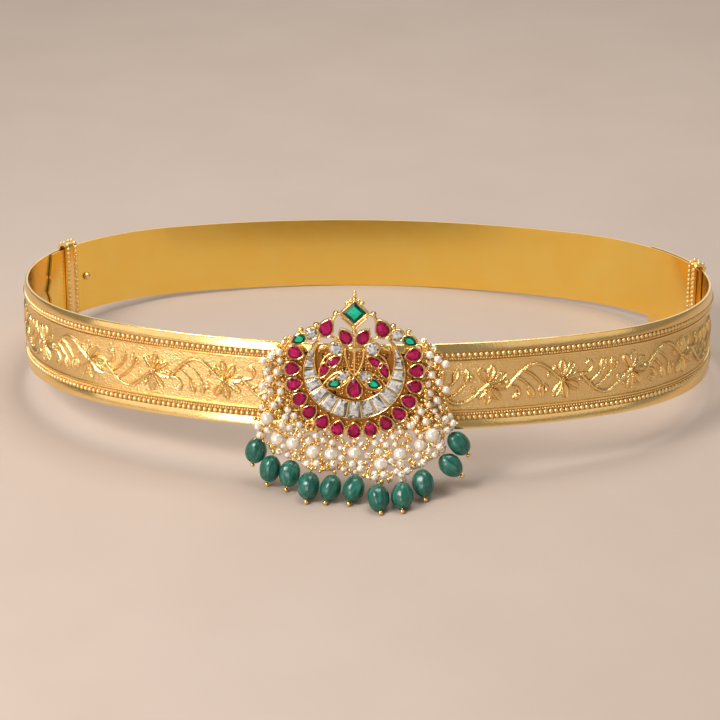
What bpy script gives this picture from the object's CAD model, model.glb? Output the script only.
"""Visual model of a gilt oddiyanam waist belt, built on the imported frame.

The belt is modelled in its own level frame, in millimetres, and is then leaned back and moved as
the frame's solids are. Every class below is one sub-assembly of the belt.
"""
import logging
import math
from dataclasses import dataclass, field
from enum import Enum

import bpy
import numpy as np
from mathutils import Matrix, Vector


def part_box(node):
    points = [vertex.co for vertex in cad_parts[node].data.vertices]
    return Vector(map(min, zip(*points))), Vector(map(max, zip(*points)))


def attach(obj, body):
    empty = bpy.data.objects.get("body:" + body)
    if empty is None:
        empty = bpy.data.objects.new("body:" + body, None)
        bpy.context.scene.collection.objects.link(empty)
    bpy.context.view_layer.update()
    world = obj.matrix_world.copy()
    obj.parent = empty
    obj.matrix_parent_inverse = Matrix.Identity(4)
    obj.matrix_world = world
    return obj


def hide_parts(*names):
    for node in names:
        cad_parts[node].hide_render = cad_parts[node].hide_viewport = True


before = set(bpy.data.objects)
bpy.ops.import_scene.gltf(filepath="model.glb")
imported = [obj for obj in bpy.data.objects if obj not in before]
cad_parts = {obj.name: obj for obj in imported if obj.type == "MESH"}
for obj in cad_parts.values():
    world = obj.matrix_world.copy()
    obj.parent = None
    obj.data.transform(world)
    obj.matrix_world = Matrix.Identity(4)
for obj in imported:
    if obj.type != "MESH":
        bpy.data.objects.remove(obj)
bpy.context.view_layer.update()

ROOT = "root"
MM = 0.001
MM_PER_M = 1000.0
LOG = logging.getLogger("belt")
Socket = bpy.types.NodeSocket


class Slot(Enum):
    """Material slots of the record."""

    GOLD = "gold"
    POLISHED = "polished_gold"
    WIRE = "gold_wire"
    RUBY = "ruby"
    GREEN = "green_stone"
    WHITE = "white_foil_stone"
    BEAD = "emerald_bead"
    PEARL = "pearl"


class Cut(Enum):
    """Outlines of the set stones."""

    PEAR = "pear"
    OVAL = "oval"
    KITE = "kite"


@dataclass(frozen=True)
class BeltSizes:
    """Driving sizes of the level belt, in millimetres and degrees."""

    half_w: float = 140.0
    side_r: float = 81.0
    front_r: float = 206.375
    back_r: float = 234.4
    band_h: float = 33.6
    band_t: float = 1.0
    rim_h: float = 3.4
    rim_proud: float = 0.35
    row_h: float = 3.9
    ornament_end: float = 96.0
    tail_left: float = 121.5
    tail_right: float = 131.0
    strap_h: float = 30.2
    strap_t: float = 0.8
    strap_rise: float = 1.5
    lap_gap: float = 0.25
    tongue_end: float = 104.0
    ogee_l: float = 4.5
    strap_right_end: float = 99.5
    bend_drop: float = 19.5
    curtain_gap: float = 5.4
    fringe_drop: float = 17.6
    relief_proud: float = 0.7
    plaque_gap: float = 0.5
    plate_t: float = 1.0
    collet_h: float = 1.3
    collet_t: float = 0.5
    stone_gap: float = 0.12
    ring_rise: float = 7.1
    ring_r: float = 23.0
    ring_step: float = 15.4
    ruby_w: float = 4.7
    ruby_l: float = 5.5
    crescent_rise: float = 1.85
    crescent_r: float = 16.7
    crescent_half_w: float = 3.7
    crescent_end: float = 129.0


class Belt:
    """The level belt's plan, and the way from its frame to the row's frame."""

    def __init__(self, sizes: BeltSizes) -> None:
        """Works out the plan's arcs and the belt's lean.

        Args:
            sizes: The belt's driving sizes.
        """
        self.s = s = sizes
        self.side_x = s.half_w - s.side_r
        self.front_phi = math.degrees(math.asin(self.side_x / (s.front_r - s.side_r)))
        self.back_phi = math.degrees(math.asin(self.side_x / (s.back_r - s.side_r)))
        self.front_cy = (s.front_r - s.side_r) * math.cos(math.radians(self.front_phi))
        self.back_cy = -(s.back_r - s.side_r) * math.cos(math.radians(self.back_phi))
        self.front_depth = s.front_r - self.front_cy
        self.back_depth = s.back_r + self.back_cy
        self.front_arc = s.front_r * math.radians(self.front_phi)
        self.strap_face = -s.band_t - s.lap_gap
        self.plaque_back = -self.front_depth - s.relief_proud - s.plaque_gap
        self.plate_front = self.plaque_back - s.plate_t
        bend_y = -self.front_depth - s.curtain_gap
        rear_y = self.back_depth + self.strap_face
        rear_z = s.strap_rise - s.strap_h / 2
        dz = -s.bend_drop - rear_z
        dy = rear_y - bend_y
        self.lean = math.asin(s.fringe_drop / math.hypot(dz, dy)) - math.atan2(dz, dy)
        self.lift = rear_y * math.sin(self.lean) - rear_z * math.cos(self.lean)
        back_y = rear_y * math.cos(self.lean) + (rear_z + s.strap_h) * math.sin(self.lean)
        self.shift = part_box("back_strap")[1].y / MM - back_y

    def turn(self) -> np.ndarray:
        """The lean as a 3 by 3 matrix.

        Returns:
            The rotation from the level frame to the row's frame.
        """
        c, n = math.cos(self.lean), math.sin(self.lean)
        return np.array([[1, 0, 0], [0, c, n], [0, -n, c]])

    def world(self, points: np.ndarray) -> np.ndarray:
        """Takes points from the level frame to the row's frame.

        Args:
            points: Points in the level frame, in millimetres.

        Returns:
            The same points in the row's frame, in metres.
        """
        moved = np.asarray(points, float) @ self.turn().T + [0, self.shift, self.lift]
        return moved * MM

    def level(self, points: np.ndarray) -> np.ndarray:
        """Takes points from the row's frame back to the level frame.

        Args:
            points: Points in the row's frame, in metres.

        Returns:
            The same points in the level frame, in millimetres.
        """
        return (np.asarray(points, float) / MM - [0, self.shift, self.lift]) @ self.turn()

    def angle_at(self, s: np.ndarray) -> np.ndarray:
        """Angle of the places that lie s along the front from its middle.

        Args:
            s: Distances along the panel's face.

        Returns:
            Angles in degrees.
        """
        s = np.asarray(s, float)
        inner = s / self.s.front_r * 180 / math.pi
        outer = np.sign(s) * (self.front_phi + (np.abs(s) - self.front_arc) / self.s.side_r * 180 / math.pi)
        return np.where(np.abs(s) <= self.front_arc, inner, outer)

    def along(self, t: float) -> float:
        """Distance along the front's face of the place at angle t.

        Args:
            t: Angle in degrees.

        Returns:
            The distance from the front's middle.
        """
        if abs(t) <= self.front_phi:
            return math.radians(t) * self.s.front_r
        return math.copysign(self.front_arc + math.radians(abs(t) - self.front_phi) * self.s.side_r, t)

    def face(self, s: np.ndarray, proud: np.ndarray) -> np.ndarray:
        """Plan points at distance s along the front and proud of the panel's face.

        Args:
            s: Distances along the face.
            proud: Distances outward from the face.

        Returns:
            An array of x and y.
        """
        t = self.angle_at(s)
        front = np.abs(t) <= self.front_phi
        cx = np.where(front, 0.0, np.sign(t) * self.side_x)
        cy = np.where(front, self.front_cy, 0.0)
        r = np.where(front, self.s.front_r, self.s.side_r) + proud
        a = np.radians(t)
        return np.stack([cx + r * np.sin(a), cy - r * np.cos(a)], -1)

    def loop_point(self, t: np.ndarray, inward: float) -> np.ndarray:
        """Plan points at angle t anywhere on the loop, 0 at the front and 180 at the back.

        Args:
            t: Angles in degrees, positive on the right.
            inward: Distance inward from the panel's face.

        Returns:
            An array of x and y.
        """
        t = np.asarray(t, float)
        a = np.radians(t)
        size = np.abs(t)
        front, back = size <= self.front_phi, size >= 180 - self.back_phi
        cx = np.where(front | back, 0.0, np.sign(t) * self.side_x)
        cy = np.where(front, self.front_cy, np.where(back, self.back_cy, 0.0))
        r = np.where(front, self.s.front_r, np.where(back, self.s.back_r, self.s.side_r)) - inward
        return np.stack([cx + r * np.sin(a), cy - r * np.cos(a)], -1)


@dataclass(frozen=True)
class GoldFinish:
    """One finish of the gilt metal."""

    name: str
    colour: tuple[float, float, float]
    deep: tuple[float, float, float]
    rough: float
    rough_spread: float
    grain: float
    grain_size: float
    scratch: float = 0.0
    ground: bool = False
    recess: bool = False


@dataclass(frozen=True)
class StoneFinish:
    """One finish of the set stones, beads and pearls: shades are pairs of place and colour."""

    name: str
    shades: tuple
    rough: float
    scale: float
    facet: float = 0.0
    subsurface: float = 0.0
    coat: float = 0.6
    index: float = 1.6
    metal: float = 0.0


GILT = GoldFinish("gilt", (1.0, 0.75, 0.33), (0.97, 0.66, 0.25), 0.15, 0.08, 0.35, 0.7, ground=True)
GILT_PLAIN = GoldFinish("gilt_plain", (1.0, 0.75, 0.32), (0.97, 0.66, 0.24), 0.14, 0.07, 0.05, 1.4)
GILT_SATIN = GoldFinish("gilt_satin", (1.0, 0.79, 0.40), (0.98, 0.72, 0.31), 0.32, 0.06, 0.04, 1.0)
GILT_SETTING = GoldFinish("gilt_setting", (1.0, 0.76, 0.35), (0.97, 0.68, 0.27), 0.17, 0.08, 0.12, 0.8,
                          recess=True)
GILT_MIRROR = GoldFinish("gilt_mirror", (1.0, 0.70, 0.16), (1.0, 0.66, 0.13), 0.14, 0.06, 0.02, 5.0,
                         scratch=0.4)
GILT_WIRE = GoldFinish("gilt_wire", (1.0, 0.70, 0.26), (0.92, 0.56, 0.16), 0.2, 0.08, 0.1, 0.9)
RUBY = StoneFinish("ruby", ((0.15, (0.05, 0.0, 0.007)), (0.45, (0.22, 0.0, 0.034)),
                            (0.62, (0.38, 0.001, 0.075)), (0.95, (0.78, 0.03, 0.26))), 0.05, 3.0, 1.0,
                   coat=0.05, index=1.4)
GREEN = StoneFinish("green_stone", ((0.15, (0.0, 0.022, 0.015)), (0.45, (0.0, 0.12, 0.068)),
                                    (0.62, (0.0, 0.33, 0.18)), (0.9, (0.004, 0.60, 0.34))), 0.05, 3.0, 1.1,
                    coat=0.05, index=1.4)
WHITE = StoneFinish("white_stone", ((0.24, (0.07, 0.066, 0.063)), (0.42, (0.28, 0.27, 0.26)),
                                    (0.58, (0.58, 0.57, 0.56)), (0.85, (0.86, 0.86, 0.85))), 0.07, 1.2, 0.9)
BEAD = StoneFinish("emerald_bead", ((0.3, (0.003, 0.05, 0.036)), (0.47, (0.010, 0.10, 0.072)),
                                    (0.6, (0.020, 0.16, 0.115)), (0.8, (0.07, 0.31, 0.23))), 0.24, 2.6,
                   subsurface=0.3, coat=0.1, index=1.5)
PEARL = StoneFinish("pearl", ((0.3, (0.80, 0.70, 0.56)), (0.7, (0.95, 0.90, 0.81))), 0.20, 4.0, coat=0.7,
                    metal=0.4)
GROUND_COLOUR = (0.90, 0.62, 0.28)
CREASE_COLOUR = (0.36, 0.16, 0.035)
RECESS_COLOUR = (0.36, 0.15, 0.035)
GROUND_CELL = 0.75
RECESS_CELL = 0.8
BUMP_STRENGTH = 0.9
BUMP_DEPTH = 0.12


class Shader:
    """Builds node materials, with all lengths in millimetres."""

    def __init__(self, name: str) -> None:
        """Starts a material with a Principled shader.

        Args:
            name: Name of the material.
        """
        self.material = bpy.data.materials.new(name)
        self.material.use_nodes = True
        self.tree = self.material.node_tree
        self.nodes = self.tree.nodes
        self.bsdf = self.nodes["Principled BSDF"]
        coord = self.nodes.new("ShaderNodeTexCoord")
        self.coord = coord.outputs["Object"]

    def node(self, kind: str, values: dict | None = None, links: dict | None = None) -> bpy.types.Node:
        """Adds a node.

        Args:
            kind: The node's type.
            values: Socket or property values by name.
            links: Sockets to link into its inputs, by name or index.

        Returns:
            The new node.
        """
        made = self.nodes.new(kind)
        for key, value in (values or {}).items():
            if isinstance(key, int) or key in made.inputs:
                made.inputs[key].default_value = value
            else:
                setattr(made, key, value)
        for key, source in (links or {}).items():
            self.tree.links.new(source, made.inputs[key])
        return made

    def noise(self, size: float, detail: float = 3.0, distortion: float = 0.0) -> Socket:
        """Noise whose features are about size across.

        Args:
            size: Size of the features in millimetres.
            detail: Octaves of detail.
            distortion: How far the noise is warped.

        Returns:
            The noise's value.
        """
        values = {"Scale": MM_PER_M / size, "Detail": detail, "Distortion": distortion}
        return self.node("ShaderNodeTexNoise", values, {"Vector": self.coord}).outputs["Fac"]

    def ramp(self, source: Socket, stops: list) -> Socket:
        """Maps a value to a colour.

        Args:
            source: The value.
            stops: Pairs of place and colour.

        Returns:
            The colour.
        """
        made = self.node("ShaderNodeValToRGB", links={"Fac": source})
        points = made.color_ramp.elements
        while len(points) < len(stops):
            points.new(0.5)
        for point, (place, colour) in zip(points, stops):
            point.position = place
            point.color = (*colour, 1.0)
        return made.outputs["Color"]

    def cells(self, size: float) -> Socket:
        """Distance from the middles of cells about size across.

        Args:
            size: Size of the cells in millimetres.

        Returns:
            The distance, as a share of the size.
        """
        made = self.node("ShaderNodeTexVoronoi", {"Scale": MM_PER_M / size}, {"Vector": self.coord})
        return made.outputs["Distance"]

    def attribute(self, name: str, output: str = "Fac") -> Socket:
        """A value that the mesh carries.

        Args:
            name: Name of the attribute.
            output: The node's output that gives it.

        Returns:
            The value.
        """
        return self.node("ShaderNodeAttribute", {"attribute_name": name}).outputs[output]

    def remap(self, source: Socket, given: tuple, wanted: tuple = (0.0, 1.0)) -> Socket:
        """Maps a value from one range to another, and holds it at the ends.

        Args:
            source: The value.
            given: The range that it comes from.
            wanted: The range that it goes to.

        Returns:
            The mapped value.
        """
        values = {"From Min": given[0], "From Max": given[1], "To Min": wanted[0], "To Max": wanted[1]}
        return self.node("ShaderNodeMapRange", values, {"Value": source}).outputs["Result"]

    def math(self, operation: str, *terms: Socket | float) -> Socket:
        """A sum, product or the like.

        Args:
            operation: The operation.
            terms: Sockets or plain numbers.

        Returns:
            The result.
        """
        made = self.node("ShaderNodeMath", {"operation": operation})
        for index, term in enumerate(terms):
            if isinstance(term, (int, float)):
                made.inputs[index].default_value = term
            else:
                self.tree.links.new(term, made.inputs[index])
        return made.outputs[0]

    def blend(self, share: Socket, colour: Socket, other: tuple) -> Socket:
        """Mixes a colour with a plain one.

        Args:
            share: Share of the plain colour.
            colour: The first colour.
            other: The plain colour.

        Returns:
            The mixed colour.
        """
        made = self.node("ShaderNodeMix", {"data_type": "RGBA"})
        self.tree.links.new(share, made.inputs[0])
        self.tree.links.new(colour, made.inputs[6])
        made.inputs[7].default_value = (*other, 1.0)
        return made.outputs[2]

    def bump(self, height: Socket, strength: float, depth: float) -> Socket:
        """Bump from a height.

        Args:
            height: The height, from 0 to 1.
            strength: Strength of the bump.
            depth: Depth in millimetres.

        Returns:
            The normal.
        """
        values = {"Strength": strength, "Distance": depth * MM}
        return self.node("ShaderNodeBump", values, {"Height": height}).outputs["Normal"]

    def set(self, values: dict) -> None:
        """Sets plain values of the Principled shader.

        Args:
            values: Values by socket name.
        """
        for key, value in values.items():
            self.bsdf.inputs[key].default_value = value

    def link(self, source: Socket, name: str) -> None:
        """Links a socket to the Principled shader.

        Args:
            source: The socket.
            name: Name of the shader's input.
        """
        self.tree.links.new(source, self.bsdf.inputs[name])


def gold_material(finish: GoldFinish, belt: Belt) -> bpy.types.Material:
    """Gilt metal with grain and wear, a stippled ground on the panel, and dark recesses.

    Args:
        finish: The finish.
        belt: The belt, whose plaque's planes the recesses follow.

    Returns:
        The material.
    """
    sh = Shader(finish.name)
    sh.set({"Metallic": 1.0})
    colour = sh.ramp(sh.noise(12.0, 3.0, 0.4), [(0.3, finish.deep), (0.7, finish.colour)])
    wear = (finish.rough - finish.rough_spread / 2, finish.rough + finish.rough_spread)
    rough = sh.remap(sh.noise(2.6, 4.0), (0.0, 1.0), wear)
    height = sh.math("MULTIPLY", sh.noise(finish.grain_size, 2.0), finish.grain)
    if finish.scratch:
        stretch = sh.node("ShaderNodeMapping", links={"Vector": sh.coord})
        stretch.inputs["Scale"].default_value = (1.0, 1.0, 14.0)
        values = {"Scale": 260.0, "Detail": 6.0}
        lines = sh.node("ShaderNodeTexNoise", values, {"Vector": stretch.outputs["Vector"]})
        height = sh.math("MULTIPLY_ADD", lines.outputs["Fac"], finish.scratch * finish.grain, height)
    if finish.ground:
        ground = sh.attribute("ground")
        stipple = sh.math("MULTIPLY", sh.math("MULTIPLY", sh.cells(GROUND_CELL), ground), 2.8)
        height = sh.math("ADD", stipple, height)
        rough = sh.math("MULTIPLY_ADD", ground, 0.17, rough)
        colour = sh.blend(sh.math("MULTIPLY", ground, 0.5), colour, GROUND_COLOUR)
        colour = sh.blend(sh.attribute("crease"), colour, CREASE_COLOUR)
    if finish.recess:
        out = belt.turn() @ np.array([0, -1.0, 0])
        plane = float(belt.world(np.array([[0, belt.plaque_back, 0]]))[0] @ out)
        along = sh.node("ShaderNodeVectorMath", {"operation": "DOT_PRODUCT", 1: tuple(out)}, {0: sh.coord})
        s = belt.s
        walls = (plane + (s.plate_t + 0.05) * MM, plane + (s.plate_t + 0.55 * s.collet_h) * MM)
        level = sh.remap(along.outputs["Value"], walls)
        middle = tuple(belt.world(np.array([[0, belt.plate_front, s.ring_rise]]))[0])
        away = sh.node("ShaderNodeVectorMath", {"operation": "DISTANCE", 1: middle}, {0: sh.coord})
        inside = sh.remap(away.outputs["Value"], ((s.ring_r + 1.6) * MM, (s.ring_r + 2.6) * MM), (1.0, 0.0))
        above = sh.remap(along.outputs["Value"], (plane + 0.3 * MM, plane + 0.8 * MM))
        deep = sh.math("MULTIPLY", sh.math("MULTIPLY", sh.math("SUBTRACT", 1.0, level), inside), above)
        colour = sh.blend(deep, colour, RECESS_COLOUR)
        rough = sh.math("MULTIPLY_ADD", deep, 0.22, rough)
        pits = sh.math("MULTIPLY", sh.math("SUBTRACT", 1.0, sh.cells(RECESS_CELL)), deep)
        height = sh.math("ADD", pits, height)
    sh.link(colour, "Base Color")
    sh.link(rough, "Roughness")
    sh.link(sh.bump(height, BUMP_STRENGTH, BUMP_DEPTH), "Normal")
    return sh.material


def stone_material(finish: StoneFinish) -> bpy.types.Material:
    """A cut stone, bead or pearl.

    Its clouds follow the attribute named local, in millimetres, and its facets the one named facet.

    Args:
        finish: The finish.

    Returns:
        The material.
    """
    sh = Shader(finish.name)
    sh.set({"Roughness": finish.rough, "Metallic": finish.metal, "IOR": finish.index,
            "Coat Weight": finish.coat, "Coat Roughness": 0.05,
            "Subsurface Weight": finish.subsurface, "Subsurface Radius": (0.0015, 0.0015, 0.0015)})
    local = sh.attribute("local", "Vector")
    values = {"Scale": 1.0 / finish.scale, "Detail": 5.0, "Distortion": 1.0, "Roughness": 0.62}
    cloud = sh.node("ShaderNodeTexNoise", values, {"Vector": local}).outputs["Fac"]
    if finish.facet:
        cloud = sh.math("MULTIPLY_ADD", sh.attribute("facet"), finish.facet, cloud)
    sh.link(sh.ramp(cloud, list(finish.shades)), "Base Color")
    return sh.material


class Batch:
    """Collects many small solids into one mesh."""

    def __init__(self) -> None:
        """Starts an empty mesh."""
        self.verts: list = []
        self.faces: list = []
        self.shades: list = []

    def add(self, verts: np.ndarray, faces: list, shades: list | None = None) -> None:
        """Adds one solid.

        Args:
            verts: Its points.
            faces: Its faces.
            shades: A value for each face.
        """
        base = sum(len(v) for v in self.verts)
        self.verts.append(np.asarray(verts, float))
        self.faces += [tuple(base + i for i in f) for f in faces]
        self.shades += shades if shades is not None else [0.0] * len(faces)

    def points(self) -> np.ndarray:
        """All points of the mesh.

        Returns:
            An array of points.
        """
        return np.concatenate(self.verts)


class Kit:
    """Makes pieces: meshes in the level frame, with their material, slot and body."""

    def __init__(self, belt: Belt) -> None:
        """Makes the shared materials.

        Args:
            belt: The belt's plan and frame.
        """
        self.belt = belt
        self.materials = {
            "gilt": gold_material(GILT, belt),
            "plain": gold_material(GILT_PLAIN, belt),
            "setting": gold_material(GILT_SETTING, belt),
            "satin": gold_material(GILT_SATIN, belt),
            "mirror": gold_material(GILT_MIRROR, belt),
            "wire": gold_material(GILT_WIRE, belt),
            "ruby": stone_material(RUBY),
            "green": stone_material(GREEN),
            "white": stone_material(WHITE),
            "bead": stone_material(BEAD),
            "pearl": stone_material(PEARL),
        }

    def mesh(self, name: str, verts: np.ndarray, faces: list, material: str, slot: Slot,
             replaced: tuple = (), smooth: float = 40.0, values: dict | None = None,
             in_row: bool = False) -> None:
        """Makes one piece.

        Args:
            name: Name of the piece.
            verts: Its points in the level frame, in millimetres.
            faces: Its faces as tuples of indices.
            material: Key of its material.
            slot: Slot of the record.
            replaced: CAD nodes that it stands for.
            smooth: Angle in degrees above which an edge is sharp, or 0 for flat faces.
            values: Attributes by name: one value for each face or each point.
            in_row: Whether the points are in the row's frame, in metres, already.
        """
        data = bpy.data.meshes.new(name)
        points = np.asarray(verts, float) if in_row else self.belt.world(verts)
        data.from_pydata(points.tolist(), [], faces)
        data.validate()
        values = {"local": self.belt.level(points)} | (values or {})
        for key, numbers in values.items():
            numbers = np.asarray(numbers, np.float32)
            domain = "FACE" if len(numbers) == len(data.polygons) else "POINT"
            vector = numbers.ndim == 2
            layer = data.attributes.new(key, "FLOAT_VECTOR" if vector else "FLOAT", domain)
            layer.data.foreach_set("vector" if vector else "value", numbers.reshape(-1))
        if smooth:
            data.shade_smooth()
            data.set_sharp_from_angle(angle=math.radians(smooth))
        data.materials.append(self.materials[material])
        piece = bpy.data.objects.new(name, data)
        bpy.context.scene.collection.objects.link(piece)
        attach(piece, ROOT)
        if replaced:
            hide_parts(*replaced)
        LOG.info("%s: %d points, %d faces", name, len(data.vertices), len(data.polygons))

    def pack(self, name: str, batch: Batch, material: str, slot: Slot, replaced: tuple = (),
             smooth: float = 40.0, values: dict | None = None, in_row: bool = False) -> None:
        """Makes one piece of all a batch holds, and takes what mesh takes."""
        self.mesh(name, batch.points(), batch.faces, material, slot, replaced, smooth, values, in_row)

    def dress(self, node: str, material: str) -> None:
        """Gives a carried CAD node its material.

        Args:
            node: Name of the node.
            material: Key of the material.
        """
        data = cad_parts[node].data
        data.materials.clear()
        data.materials.append(self.materials[material])


def basis(axis: np.ndarray) -> np.ndarray:
    """A right-handed frame whose third row is an axis.

    Args:
        axis: The axis.

    Returns:
        Three unit rows.
    """
    w = np.asarray(axis, float) / np.linalg.norm(axis)
    helper = np.array([0, 0, 1.0]) if abs(w[2]) < 0.9 else np.array([1.0, 0, 0])
    u = np.cross(helper, w)
    u /= np.linalg.norm(u)
    return np.stack([u, np.cross(w, u), w])


def revolved(profile: list, sides: int) -> tuple[np.ndarray, list]:
    """A closed solid turned about Z.

    Args:
        profile: Pairs of radius and height, from the bottom to the top.
        sides: Number of sides.

    Returns:
        Points and faces.
    """
    verts, rows = [], []
    for r, z in profile:
        if r < 1e-6:
            rows.append([len(verts)] * sides)
            verts.append((0, 0, z))
            continue
        rows.append(list(range(len(verts), len(verts) + sides)))
        verts += [(r * math.cos(2 * math.pi * k / sides), r * math.sin(2 * math.pi * k / sides), z)
                  for k in range(sides)]
    faces = []
    for low, high in zip(rows, rows[1:]):
        for k in range(sides):
            n = (k + 1) % sides
            quad = [low[k], low[n], high[n], high[k]]
            clean = [i for j, i in enumerate(quad) if i not in quad[:j]]
            if len(clean) > 2:
                faces.append(tuple(clean))
    for row, order in ((rows[0], -1), (rows[-1], 1)):
        if len(set(row)) > 1:
            faces.append(tuple(row[::order]))
    return np.array(verts, float), faces


def ball(r: float, sides: int = 10, rings: int = 6) -> tuple[np.ndarray, list]:
    """A sphere.

    Args:
        r: Radius.
        sides: Number of sides.
        rings: Number of bands from pole to pole.

    Returns:
        Points and faces.
    """
    turns = [math.pi * (k / rings - 0.5) for k in range(rings + 1)]
    return revolved([(max(0.0, r * math.cos(t)) if 0 < k < rings else 0.0, r * math.sin(t))
                     for k, t in enumerate(turns)], sides)


def tube(path: np.ndarray, radius: float | np.ndarray, sides: int,
         closed: bool = False) -> tuple[np.ndarray, list]:
    """A tube along a path.

    Args:
        path: Points of the path.
        radius: Radius, or one for each point.
        sides: Number of sides.
        closed: Whether the path is a loop.

    Returns:
        Points and faces.
    """
    path = np.asarray(path, float)
    n = len(path)
    if closed:
        ahead = np.roll(path, -1, 0) - np.roll(path, 1, 0)
    else:
        ahead = np.gradient(path, axis=0)
    ahead /= np.linalg.norm(ahead, axis=1)[:, None]
    radius = np.broadcast_to(radius, n)
    side = basis(ahead[0])[0]
    verts = []
    for p, d, r in zip(path, ahead, radius):
        side = side - d * (side @ d)
        side = side / np.linalg.norm(side)
        other = np.cross(d, side)
        for k in range(sides):
            a = 2 * math.pi * k / sides
            verts.append(p + r * (math.cos(a) * side + math.sin(a) * other))
    faces = []
    for i in range(n if closed else n - 1):
        j = (i + 1) % n
        for k in range(sides):
            m = (k + 1) % sides
            faces.append((i * sides + k, i * sides + m, j * sides + m, j * sides + k))
    if not closed:
        faces.append(tuple(range(sides))[::-1])
        faces.append(tuple((n - 1) * sides + k for k in range(sides)))
    return np.array(verts), faces


def grid_quads(index: np.ndarray) -> np.ndarray:
    """Faces between neighbours of a grid of point numbers.

    Args:
        index: The grid.

    Returns:
        Rows of four point numbers.
    """
    corners = [index[:-1, :-1], index[:-1, 1:], index[1:, 1:], index[1:, :-1]]
    return np.stack(corners, -1).reshape(-1, 4)


def smooth_path(points: list, steps: int) -> np.ndarray:
    """A smooth curve through points.

    Args:
        points: The points.
        steps: Steps between two points.

    Returns:
        Points of the curve.
    """
    p = np.asarray(points, float)
    p = np.concatenate([[2 * p[0] - p[1]], p, [2 * p[-1] - p[-2]]])
    out = []
    for a, b, c, d in zip(p, p[1:], p[2:], p[3:]):
        for u in np.linspace(0, 1, steps, endpoint=False):
            out.append(0.5 * (2 * b + (c - a) * u + (2 * a - 5 * b + 4 * c - d) * u * u
                              + (3 * b - a - 3 * c + d) * u ** 3))
    out.append(p[-2])
    return np.array(out)


def spread_out(values: np.ndarray, steps: int) -> np.ndarray:
    """Blurs a grid over its neighbours.

    Args:
        values: The grid.
        steps: How many times.

    Returns:
        The blurred grid.
    """
    for _ in range(steps):
        for axis in (0, 1):
            values = (np.roll(values, 1, axis) + values + np.roll(values, -1, axis)) / 3
    return values


@dataclass
class Relief:
    """Height of the vine over the panel, in a window of the panel's grid."""

    s: np.ndarray
    z: np.ndarray
    height: np.ndarray
    swell: float = 1.6
    rim_place: float = 0.64
    rim_width: float = 0.27

    def raise_to(self, rows: slice, cols: slice, h: np.ndarray) -> None:
        """Raises a window of the grid where h is higher.

        Args:
            rows: Rows of the window.
            cols: Columns of the window.
            h: Heights there.
        """
        self.height[rows, cols] = np.maximum(self.height[rows, cols], h)

    def window(self, box: tuple) -> tuple[slice, slice, np.ndarray, np.ndarray] | None:
        """The part of the grid inside a box.

        Args:
            box: Lowest and highest s, and lowest and highest z.

        Returns:
            Row and column slices with the places there, or None outside the grid.
        """
        c0, c1 = np.searchsorted(self.s, box[:2])
        r0, r1 = np.searchsorted(self.z, box[2:])
        if c0 >= c1 or r0 >= r1:
            return None
        ss, zz = np.meshgrid(self.s[c0:c1], self.z[r0:r1])
        return slice(r0, r1), slice(c0, c1), ss, zz

    def ridge(self, path: np.ndarray, width: tuple, h: float) -> None:
        """A round-backed ridge along a path.

        Args:
            path: Points of the path as s and z.
            width: Width at its start and at its end.
            h: Its height.
        """
        reach = max(width)
        low, high = path.min(0) - reach, path.max(0) + reach
        found = self.window((low[0], high[0], low[1], high[1]))
        if found is None:
            return
        rows, cols, ss, zz = found
        best = np.full(ss.shape, 9.0)
        for k, (a, b) in enumerate(zip(path, path[1:])):
            d = b - a
            u = np.clip(((ss - a[0]) * d[0] + (zz - a[1]) * d[1]) / (d @ d), 0, 1)
            dist = np.hypot(ss - a[0] - u * d[0], zz - a[1] - u * d[1])
            share = (k + u) / (len(path) - 1)
            best = np.minimum(best, dist / (width[0] + (width[1] - width[0]) * share) * 2)
        self.raise_to(rows, cols, h * np.sqrt(np.clip(1 - best ** 2, 0, 1)))

    def leaf(self, at: tuple, turn: float, length: float, width: float, h: float, groove: float) -> None:
        """A leaf with a raised edge and a hollow middle.

        Args:
            at: Place of its root as s and z.
            turn: Its direction in degrees.
            length: Its length.
            width: Its width.
            h: Its height.
            groove: Share of the height that only the raised edge has.
        """
        reach = length + 0.5
        found = self.window((at[0] - reach, at[0] + reach, at[1] - reach, at[1] + reach))
        if found is None:
            return
        rows, cols, ss, zz = found
        c, n = math.cos(math.radians(turn)), math.sin(math.radians(turn))
        a = ((ss - at[0]) * c + (zz - at[1]) * n) / length
        b = -(ss - at[0]) * n + (zz - at[1]) * c
        inside = (a > 0) & (a < 1)
        half = width / 2 * np.sin(math.pi * np.clip(a, 0.001, 0.999) ** self.swell) ** 0.8
        u = np.abs(b) / np.maximum(half, 0.02)
        dome = np.sqrt(np.clip(1 - u ** 2, 0, 1))
        crown = (1 - groove) * dome + groove * np.exp(-((u - self.rim_place) / self.rim_width) ** 2)
        arch = 0.6 + 0.4 * np.sin(math.pi * np.clip(a, 0, 1))
        self.raise_to(rows, cols, np.where(inside & (u < 1), h * np.minimum(crown, 1) * arch, 0))

    def knob(self, at: tuple, r: float, h: float) -> None:
        """A domed ball.

        Args:
            at: Its place as s and z.
            r: Its radius.
            h: Its height.
        """
        found = self.window((at[0] - r, at[0] + r, at[1] - r, at[1] + r))
        if found is None:
            return
        rows, cols, ss, zz = found
        d = np.hypot(ss - at[0], zz - at[1]) / r
        self.raise_to(rows, cols, h * np.sqrt(np.clip(1 - d ** 2, 0, 1)))


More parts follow.
